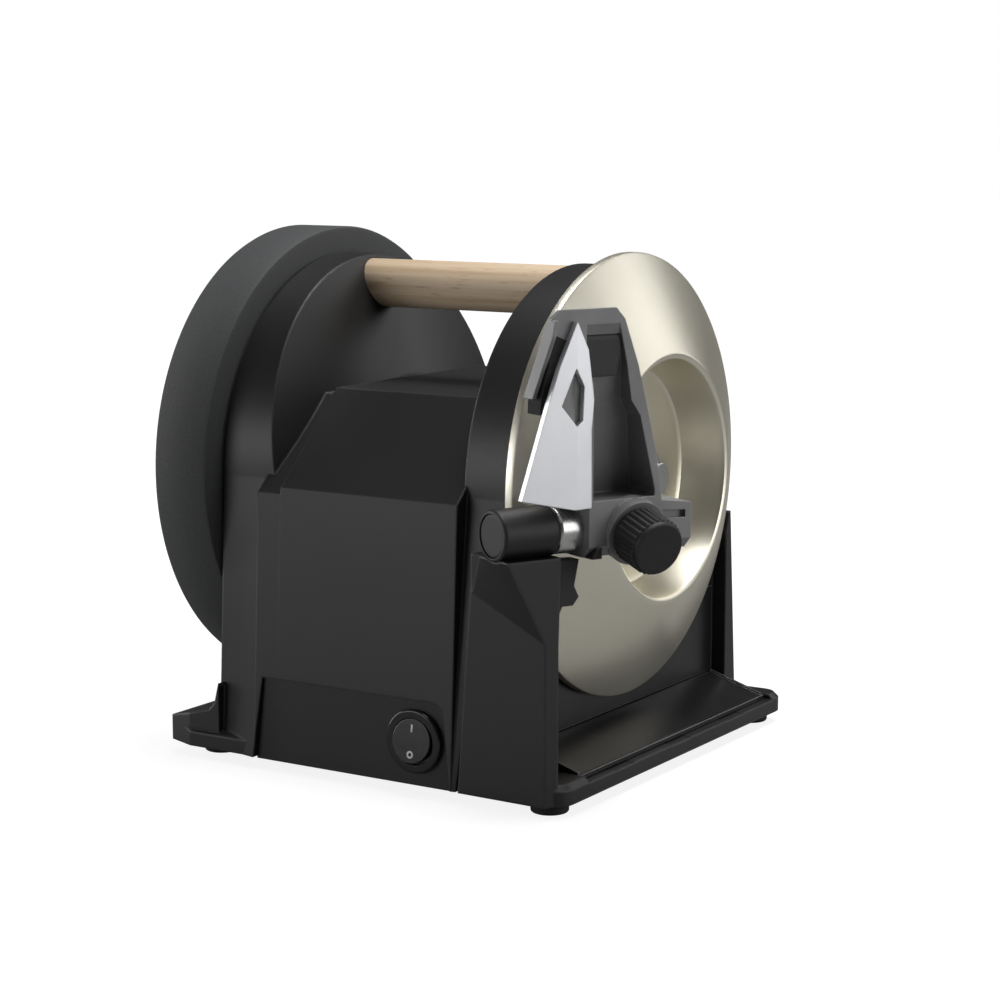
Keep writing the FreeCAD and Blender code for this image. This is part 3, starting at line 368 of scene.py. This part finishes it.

# %% [markdown]
# Cast, plated and coated metals have no direction in their surface, so they share one
# recipe: a tint with a cloudy mottle of about 22 mm, a fine grain in the roughness and
# relief, and a painted highlight that makes the edges bright.

# %% Metals without a direction
def blasted_metal(name, dark, light, roughness, grain_mm=0.35, bump=0.05, metallic=1.0):
    material, tree, shader, place = start_material(name, Metallic=metallic)
    mottle = add_node(tree, "ShaderNodeTexNoise", {"Vector": place}, in_Scale=per_metre(22.22), in_Detail=4.0)
    ground = add_node(tree, "ShaderNodeValToRGB", {"Fac": mottle.outputs["Fac"]}, ((0.3, dark), (0.7, light)))
    grain = add_node(tree, "ShaderNodeTexNoise", {"Vector": place}, in_Scale=per_metre(2 * grain_mm),
                     in_Detail=2.0)
    gloss = add_node(tree, "ShaderNodeMapRange", {"Value": grain.outputs["Fac"]}, in_To_Min=roughness - 0.06,
                     in_To_Max=roughness + 0.08)
    rounded = add_node(tree, "ShaderNodeBevel", in_Radius=0.0005, samples=4)
    relief = add_node(tree, "ShaderNodeBump",
                      {"Height": grain.outputs["Fac"], "Normal": rounded.outputs["Normal"]},
                      in_Strength=bump, in_Distance=0.0001)
    # The paler colour along the edges, #B8B8BA, is a painted highlight
    feed(tree, shader, Base_Color=painted_edge_highlight(tree, ground.outputs["Color"], rounded, "#B8B8BA"),
         Roughness=gloss.outputs["Result"], Normal=relief.outputs["Normal"])
    return material


# Zinc plate on screws, brackets and clips: cool grey with a soft shine
zinc_plate = blasted_metal("zinc_plated_steel", "#A7A8AA", "#BCBDC0", 0.36)
# The guide casting: shot-blasted zinc alloy, a dull mid grey
zinc_casting = blasted_metal("shot_blasted_zinc_casting", "#7C7C7D", "#8A8A8B", 0.52, grain_mm=0.5, bump=0.08,
                             metallic=0.4)
# The guide plate: stainless steel with a satin finish, evenly pale and bright
satin_plate = blasted_metal("satin_stainless_plate", "#E2E3E6", "#EAEBEE", 0.42, grain_mm=0.25, metallic=0.8)
# The tray and splash plate: sheet steel with a black coat that mirrors the disc softly
black_sheet = blasted_metal("black_coated_sheet_steel", "#1B1B1C", "#222223", 0.3, metallic=0.2, bump=0.03)
# The tray magnets: ferrite, a dull grey like slate
ferrite = blasted_metal("ferrite_magnet", "#2C2C2E", "#38383A", 0.6, metallic=0.2)
# The bearings: sintered bronze, brown and a little oily
bronze = blasted_metal("sintered_bronze", "#8A6338", "#A07644", 0.45)
# The motor's windings: enamelled copper, red brown with a sheen
copper_wire = blasted_metal("enamelled_copper", "#9A4E25", "#B05E30", 0.35)
# The motor's core: pressed laminations, plain grey steel
lamination = blasted_metal("steel_laminations", "#7A7A7C", "#8A8A8C", 0.45)
metals = (zinc_plate, zinc_casting, satin_plate, black_sheet, ferrite, bronze, copper_wire, lamination)
print("metals:", [m.name for m in metals])

# %% [markdown]
# Turned parts carry fine rings from the lathe. A wave texture would space them evenly,
# which looks printed, so a one-dimensional noise reads the distance from the shaft and
# gives rings that vary as real tool marks do. They stand about 0.5 mm apart, coarser than
# the 0.2 mm of a real cut, so that the picture can hold them.

# %% Turned steel
def ringed_steel():
    material, tree, shader, place = start_material("turned_steel", Metallic=1.0)
    centred = add_node(tree, "ShaderNodeMapping", {"Vector": place}, in_Location=(0.0, -shaft_y, -shaft_z))
    split = add_node(tree, "ShaderNodeSeparateXYZ", {"Vector": centred.outputs["Vector"]})
    flat = add_node(tree, "ShaderNodeCombineXYZ", {"Y": split.outputs["Y"], "Z": split.outputs["Z"]})
    radius = add_node(tree, "ShaderNodeVectorMath", {0: flat.outputs["Vector"]}, operation="LENGTH")
    rings = add_node(tree, "ShaderNodeTexNoise", {"W": radius.outputs["Value"]}, noise_dimensions="1D",
                     in_Scale=per_metre(0.5), in_Detail=3.0)
    blotch = add_node(tree, "ShaderNodeTexNoise", {"Vector": place}, in_Scale=per_metre(33.33), in_Detail=3.0)
    tint = add_node(tree, "ShaderNodeValToRGB", {"Fac": blotch.outputs["Fac"]},
                    ((0.3, "#B9B9B8"), (0.7, "#CBCBC9")))
    gloss = add_node(tree, "ShaderNodeMapRange", {"Value": rings.outputs["Fac"]}, in_To_Min=0.23,
                     in_To_Max=0.35)
    relief = add_node(tree, "ShaderNodeBump", {"Height": rings.outputs["Fac"]}, in_Strength=0.04,
                      in_Distance=0.0001)
    feed(tree, shader, Base_Color=tint.outputs["Color"], Roughness=gloss.outputs["Result"],
         Normal=relief.outputs["Normal"])
    return material


turned_steel = ringed_steel()
print("turned finish:", turned_steel.name)

# %% [markdown]
# The grinding disc is steel with a galvanic bond that holds fine diamond grit. Grit of a
# few hundredths of a millimetre is too fine for the picture, so it is drawn about ten
# times as coarse, as cells of 0.4 mm. It gives the warm silver sheen its slight sparkle.

# %% Diamond-coated steel
def diamond_steel():
    material, tree, shader, place = start_material("diamond_coated_steel", Metallic=1.0)
    grit = add_node(tree, "ShaderNodeTexVoronoi", {"Vector": place}, in_Scale=per_metre(0.3846))
    cloud = add_node(tree, "ShaderNodeTexNoise", {"Vector": place}, in_Scale=per_metre(45.45), in_Detail=3.0)
    tint = add_node(tree, "ShaderNodeValToRGB", {"Fac": cloud.outputs["Fac"]},
                    ((0.3, "#E2DDCC"), (0.7, "#ECE8DA")))
    gloss = add_node(tree, "ShaderNodeMapRange", {"Value": grit.outputs["Distance"]}, in_To_Min=0.26,
                     in_To_Max=0.44)
    relief = add_node(tree, "ShaderNodeBump", {"Height": grit.outputs["Distance"]}, in_Strength=0.12,
                      in_Distance=0.0001)
    feed(tree, shader, Base_Color=tint.outputs["Color"], Roughness=gloss.outputs["Result"],
         Normal=relief.outputs["Normal"])
    return material


disc_steel = diamond_steel()
print("disc finish:", disc_steel.name)

# %% [markdown]
# The honing wheel is a filled polyurethane composite, cast and then turned true. It is
# dead matte and dark grey, with pores of about 0.6 mm that a noise draws both as tone and
# as relief. Turning rings aren't drawn, since such a filler hides them.

# %% Honing composite
def honing_composite():
    material, tree, shader, place = start_material("cast_honing_composite", Roughness=0.72, IOR=1.5)
    pores = add_node(tree, "ShaderNodeTexNoise", {"Vector": place}, in_Scale=per_metre(0.5882), in_Detail=3.0)
    tones = add_node(tree, "ShaderNodeValToRGB", {"Fac": pores.outputs["Fac"]},
                     ((0.35, "#38393A"), (0.7, "#434445")))
    relief = add_node(tree, "ShaderNodeBump", {"Height": pores.outputs["Fac"]}, in_Strength=0.25,
                      in_Distance=0.0003)
    feed(tree, shader, Base_Color=tones.outputs["Color"], Normal=relief.outputs["Normal"])
    return material


composite = honing_composite()
print("honing finish:", composite.name)

# %% [markdown]
# The handle is a beech dowel with its grain along X. A noise stretched 40 times along
# the grain makes fibres 2 mm wide, and short dark flecks, 11 mm long and 0.9 mm wide, are
# the rays that tell beech from oak. They are drawn about three times as coarse as real
# ones, and only darken what is below them.

# %% Beech
def beech():
    material, tree, shader, place = start_material("oiled_beech", Roughness=0.5, IOR=1.48)
    fibre_scale = (per_metre(83.33), per_metre(2.0833), per_metre(2.0833))
    fleck_scale = (per_metre(11.11), per_metre(0.9091), per_metre(0.9091))
    fibre_place = add_node(tree, "ShaderNodeMapping", {"Vector": place}, in_Scale=fibre_scale)
    fibre = add_node(tree, "ShaderNodeTexNoise", {"Vector": fibre_place.outputs["Vector"]}, in_Scale=1.0,
                     in_Detail=5.0)
    fleck_place = add_node(tree, "ShaderNodeMapping", {"Vector": place}, in_Scale=fleck_scale)
    fleck = add_node(tree, "ShaderNodeTexNoise", {"Vector": fleck_place.outputs["Vector"]}, in_Scale=1.0,
                     in_Detail=2.0)
    ground = add_node(tree, "ShaderNodeValToRGB", {"Fac": fibre.outputs["Fac"]},
                      ((0.3, "#C9AE8E"), (0.5, "#D8C0A2"), (0.72, "#E2CDB2")))
    marks = add_node(tree, "ShaderNodeValToRGB", {"Fac": fleck.outputs["Fac"]},
                     ((0.62, "#FFFFFF"), (0.72, "#BFA283")))
    both = add_node(tree, "ShaderNodeMix",
                    {colour_a: ground.outputs["Color"], colour_b: marks.outputs["Color"]},
                    data_type="RGBA", blend_type="MULTIPLY", in_Factor=0.5)
    relief = add_node(tree, "ShaderNodeBump", {"Height": fibre.outputs["Fac"]}, in_Strength=0.12,
                      in_Distance=0.0002)
    feed(tree, shader, Base_Color=both.outputs[2], Normal=relief.outputs["Normal"])
    return material


oiled_beech = beech()
print("wood:", oiled_beech.name)

# %% [markdown]
# Every CAD node now gets its finish. It could be chosen node by node, but the record
# already names a material slot for each, so one short list of slots is enough, with two
# exceptions round the switch. The nodes' shapes stay as they are.

# %% Finishes on the CAD nodes
finish_of_slot = {
    "housing_plastic": housing_nylon, "black_plastic": black_nylon, "rubber": nitrile_rubber,
    "steel": turned_steel, "zinc_steel": zinc_plate, "dark_steel": black_sheet, "disc_metal": disc_steel,
    "honing_composite": composite, "cast_metal": zinc_casting, "satin_plate": satin_plate, "bronze": bronze,
    "gear_plastic": natural_acetal, "copper": copper_wire, "laminations": lamination, "wood": oiled_beech,
    "rocker_plastic": gloss_switch, "magnet": ferrite,
}
finish_of_node = {"switch_panel": panel_nylon, "switch_bezel": gloss_switch}
slot_of_node = {part["node"]: part["material_slot"] for part in frame["record"]["subparts"]}
for name, node in nodes.items():
    node.data.materials.clear()
    node.data.materials.append(finish_of_node.get(name, finish_of_slot[slot_of_node[name]]))
print("finished nodes:", len(nodes))

# %% [markdown]
# Finer pieces are built from bmesh operators. One helper turns a bmesh into an object on
# a body, with its finish and the CAD node that it stands for. Another spins a closed
# outline, given as distances along X and from the axis, into a turned piece.

# %% Piece helpers
weld_distance = 1e-6
sharp_angle = math.radians(32)


def make_piece(name, shape, body, finish, replaced=()):
    bmesh.ops.remove_doubles(shape, verts=shape.verts, dist=weld_distance)
    bmesh.ops.recalc_face_normals(shape, faces=shape.faces)
    mesh = bpy.data.meshes.new(name)
    shape.to_mesh(mesh)
    shape.free()
    mesh.materials.append(finish)
    mesh.shade_smooth()
    mesh.set_sharp_from_angle(angle=sharp_angle)
    piece = bpy.data.objects.new(name, mesh)
    bpy.context.scene.collection.objects.link(piece)
    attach(piece, body)
    if replaced:
        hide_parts(*replaced)
    print(name, len(mesh.polygons), "faces")
    return piece


def spin_outline(shape, corners, centre, axis, steps):
    loop = [shape.verts.new(corner) for corner in corners]
    sides = [shape.edges.new(pair) for pair in zip(loop, loop[1:] + loop[:1])]
    bmesh.ops.spin(shape, geom=loop + sides, cent=centre, axis=axis, angle=math.tau, steps=steps,
                   use_merge=True)


def turned(outline, steps, axis_z=shaft_z):
    shape = bmesh.new()
    corners = [(x, shaft_y, axis_z + r) for x, r in outline]
    spin_outline(shape, corners, (0, shaft_y, axis_z), (1, 0, 0), steps)
    return shape


# %% [markdown]
# The honing wheel is one closed outline spun round the shaft. A bevel on a cylinder could
# break its corners evenly, but here three points shape each worn corner a little deeper
# on the face than on the rim. Both faces are turned down inside a land, as on the CAD
# wheel.

# %% Honing wheel
honing_low, honing_high = node_box("honing_wheel")
outer_face, near_face = honing_low.x, honing_high.x
honing_radius = (honing_high.z - honing_low.z) / 2
worn_corner = ((0.0, 0.0018), (0.0004, 0.0006), (0.0016, 0.0))
hub_seat, hub_ring = 0.034, 0.0005
near_land, near_root, near_recess = 0.0725, 0.0698, 0.0025
outer_land, outer_root, outer_recess = 0.0742, 0.0718, 0.003
near_break, outer_break, break_depth = 0.0003, 0.0005, 0.0003
wheel_steps = 256
honing_outline = [(outer_face + inset, honing_radius - drop) for inset, drop in worn_corner]
honing_outline += [(near_face - inset, honing_radius - drop) for inset, drop in reversed(worn_corner)]
honing_outline += [
    (near_face, near_land), (near_face - break_depth, near_land - near_break),
    (near_face - near_recess, near_root), (near_face - near_recess, hub_seat + hub_ring),
    (near_face - near_recess, hub_seat),
    (outer_face + outer_recess, hub_seat), (outer_face + outer_recess, outer_root),
    (outer_face + break_depth, outer_land - outer_break), (outer_face, outer_land),
]
honing_shape = turned(honing_outline, wheel_steps)
honing_wheel = make_piece("honing_tyre", honing_shape, "wheels", composite, ["honing_wheel"])

# %% [markdown]
# The grinding disc is a turned steel dish: a cone that carries the grit, a rounded lip
# round the cup, and a flat floor with a raised boss for the nut. One outline gives all of
# it at once. The small steps at the rim, the lip and the boss's edge are what catch the
# thin bright lines. Along X, sizes count from the rim's front edge.

# %% Grinding disc
lip_front, lip_outer, lip_inner = 0.0180, 0.0484, 0.0451
cup_root, cup_floor = 0.0424, -0.0005
boss_face, boss_foot = 0.0015, 0.0165
disc_bore = 0.0060
disc_back = -0.0035
dish_back = -0.0030
disc_outline = [
    # The rounded rim
    (-0.0006, disc_radius), (0.0002, disc_radius - 0.0002), (0.0007, disc_radius - 0.0009),
    # The cone runs straight from there to the lip
    (lip_front - 0.0004, lip_outer), (lip_front, lip_outer - 0.0008), (lip_front, lip_inner + 0.0015),
    (lip_front - 0.0006, lip_inner + 0.0005), (lip_front - 0.0016, lip_inner),
    # The cup's wall and its rounded root
    (boss_face, cup_root), (0.0002, cup_root - 0.0006), (cup_floor + 0.0001, cup_root - 0.0016),
    (cup_floor, cup_root - 0.0029),
    # The boss, with a sloping edge, and the bore
    (cup_floor, boss_foot), (cup_floor + 0.0004, boss_foot - 0.0008),
    (boss_face - 0.0004, boss_foot - 0.0020), (boss_face, boss_foot - 0.0027), (boss_face, disc_bore),
    (disc_back, disc_bore),
    # The hollow back of the dish
    (disc_back, 0.0439), (0.0139, 0.0479), (dish_back, 0.0820), (dish_back, disc_radius - 0.0004),
    (dish_back + 0.0004, disc_radius),
]
disc_shape = turned([(disc_edge_x + x, r) for x, r in disc_outline], wheel_steps)
grinding_disc = make_piece("diamond_dish", disc_shape, "wheels", disc_steel, ["grinding_disc"])

# %% [markdown]
# The handle is a turned dowel. A plain cylinder would do from afar, but its ends show
# beside the arches, so the outline breaks their edges as a saw and sandpaper leave them.
# Each end has a hole for its bolt, and one bore right through stands for both, as nothing
# of it can be seen once the bolts are in.

# %% Handle
dowel_low, dowel_high = node_box("handle_dowel")
dowel_radius = (dowel_high.z - dowel_low.z) / 2
dowel_z = (dowel_high.z + dowel_low.z) / 2
bolt_hole = 0.0031
end_break = 0.0015
dowel_steps = 96
dowel_outline = [
    (dowel_low.x, bolt_hole), (dowel_low.x, dowel_radius - end_break),
    (dowel_low.x + 0.0004, dowel_radius - 0.0006), (dowel_low.x + end_break, dowel_radius),
    (dowel_high.x - end_break, dowel_radius),
    (dowel_high.x, dowel_radius - end_break), (dowel_high.x, bolt_hole),
]
dowel_shape = turned(dowel_outline, dowel_steps, dowel_z)
handle = make_piece("beech_dowel", dowel_shape, "housing", oiled_beech, ["handle_dowel"])

# %% [markdown]
# The rocker carries two printed marks, a bar for on and a ring for off. They could be a
# texture, but a texture has no edge of its own close up. Each is a thin solid laid on the
# face that a ray finds, so it follows the tilt of its half of the rocker. The ink stands
# 0.06 mm proud and has the slightly uneven cover of pad printing.

# %% Marks on the rocker
ink_height = 0.00006
ink_shoulder = 0.6
mark_rise = 0.0048
mark_length = 0.0028
stroke = 0.0007
ring_steps = 48
ray_run_up = 0.01


def pad_print():
    material, tree, shader, place = start_material("pad_printed_white_ink", IOR=1.5)
    cover = add_node(tree, "ShaderNodeTexNoise", {"Vector": place}, in_Scale=per_metre(0.4), in_Detail=3.0)
    tones = add_node(tree, "ShaderNodeValToRGB", {"Fac": cover.outputs["Fac"]},
                     ((0.3, "#BDBDBB"), (0.6, "#E8E8E6")))
    gloss = add_node(tree, "ShaderNodeMapRange", {"Value": cover.outputs["Fac"]}, in_To_Min=0.42,
                     in_To_Max=0.6)
    feed(tree, shader, Base_Color=tones.outputs["Color"], Roughness=gloss.outputs["Result"])
    return material


def rocker_seat(rise):
    low, high = node_box("switch_rocker")
    mesh = nodes["switch_rocker"].data
    faces = BVHTree.FromPolygons([v.co for v in mesh.vertices], [tuple(p.vertices) for p in mesh.polygons])
    start = Vector(((low.x + high.x) / 2, low.y - ray_run_up, (low.z + high.z) / 2 + rise))
    spot, normal, _, _ = faces.ray_cast(start, Vector((0, 1, 0)))
    return Matrix.Translation(spot) @ normal.to_track_quat("Z", "Y").to_matrix().to_4x4()


def add_bar(shape, seat):
    size = Matrix.Diagonal((stroke, mark_length, 2 * ink_height, 1.0))
    bar = bmesh.ops.create_cube(shape, size=1.0, matrix=seat @ size)
    edges = list({edge for vert in bar["verts"] for edge in vert.link_edges})
    bmesh.ops.bevel(shape, geom=edges, offset=ink_height / 2, segments=2, profile=0.5, affect="EDGES",
                    material=-1)


def add_ring(shape, seat):
    outer = mark_length / 2
    inner = outer - stroke
    section = [(outer, -ink_height), (outer, ink_height * ink_shoulder), (outer - ink_height, ink_height),
               (inner + ink_height, ink_height), (inner, ink_height * ink_shoulder), (inner, -ink_height)]
    corners = [seat @ Vector((radius, 0, height)) for radius, height in section]
    spin_outline(shape, corners, seat.translation, seat.to_3x3() @ Vector((0, 0, 1)), ring_steps)


marks = bmesh.new()
add_bar(marks, rocker_seat(mark_rise))
add_ring(marks, rocker_seat(-mark_rise))
rocker_marks = make_piece("rocker_marks", marks, "switch", pad_print())
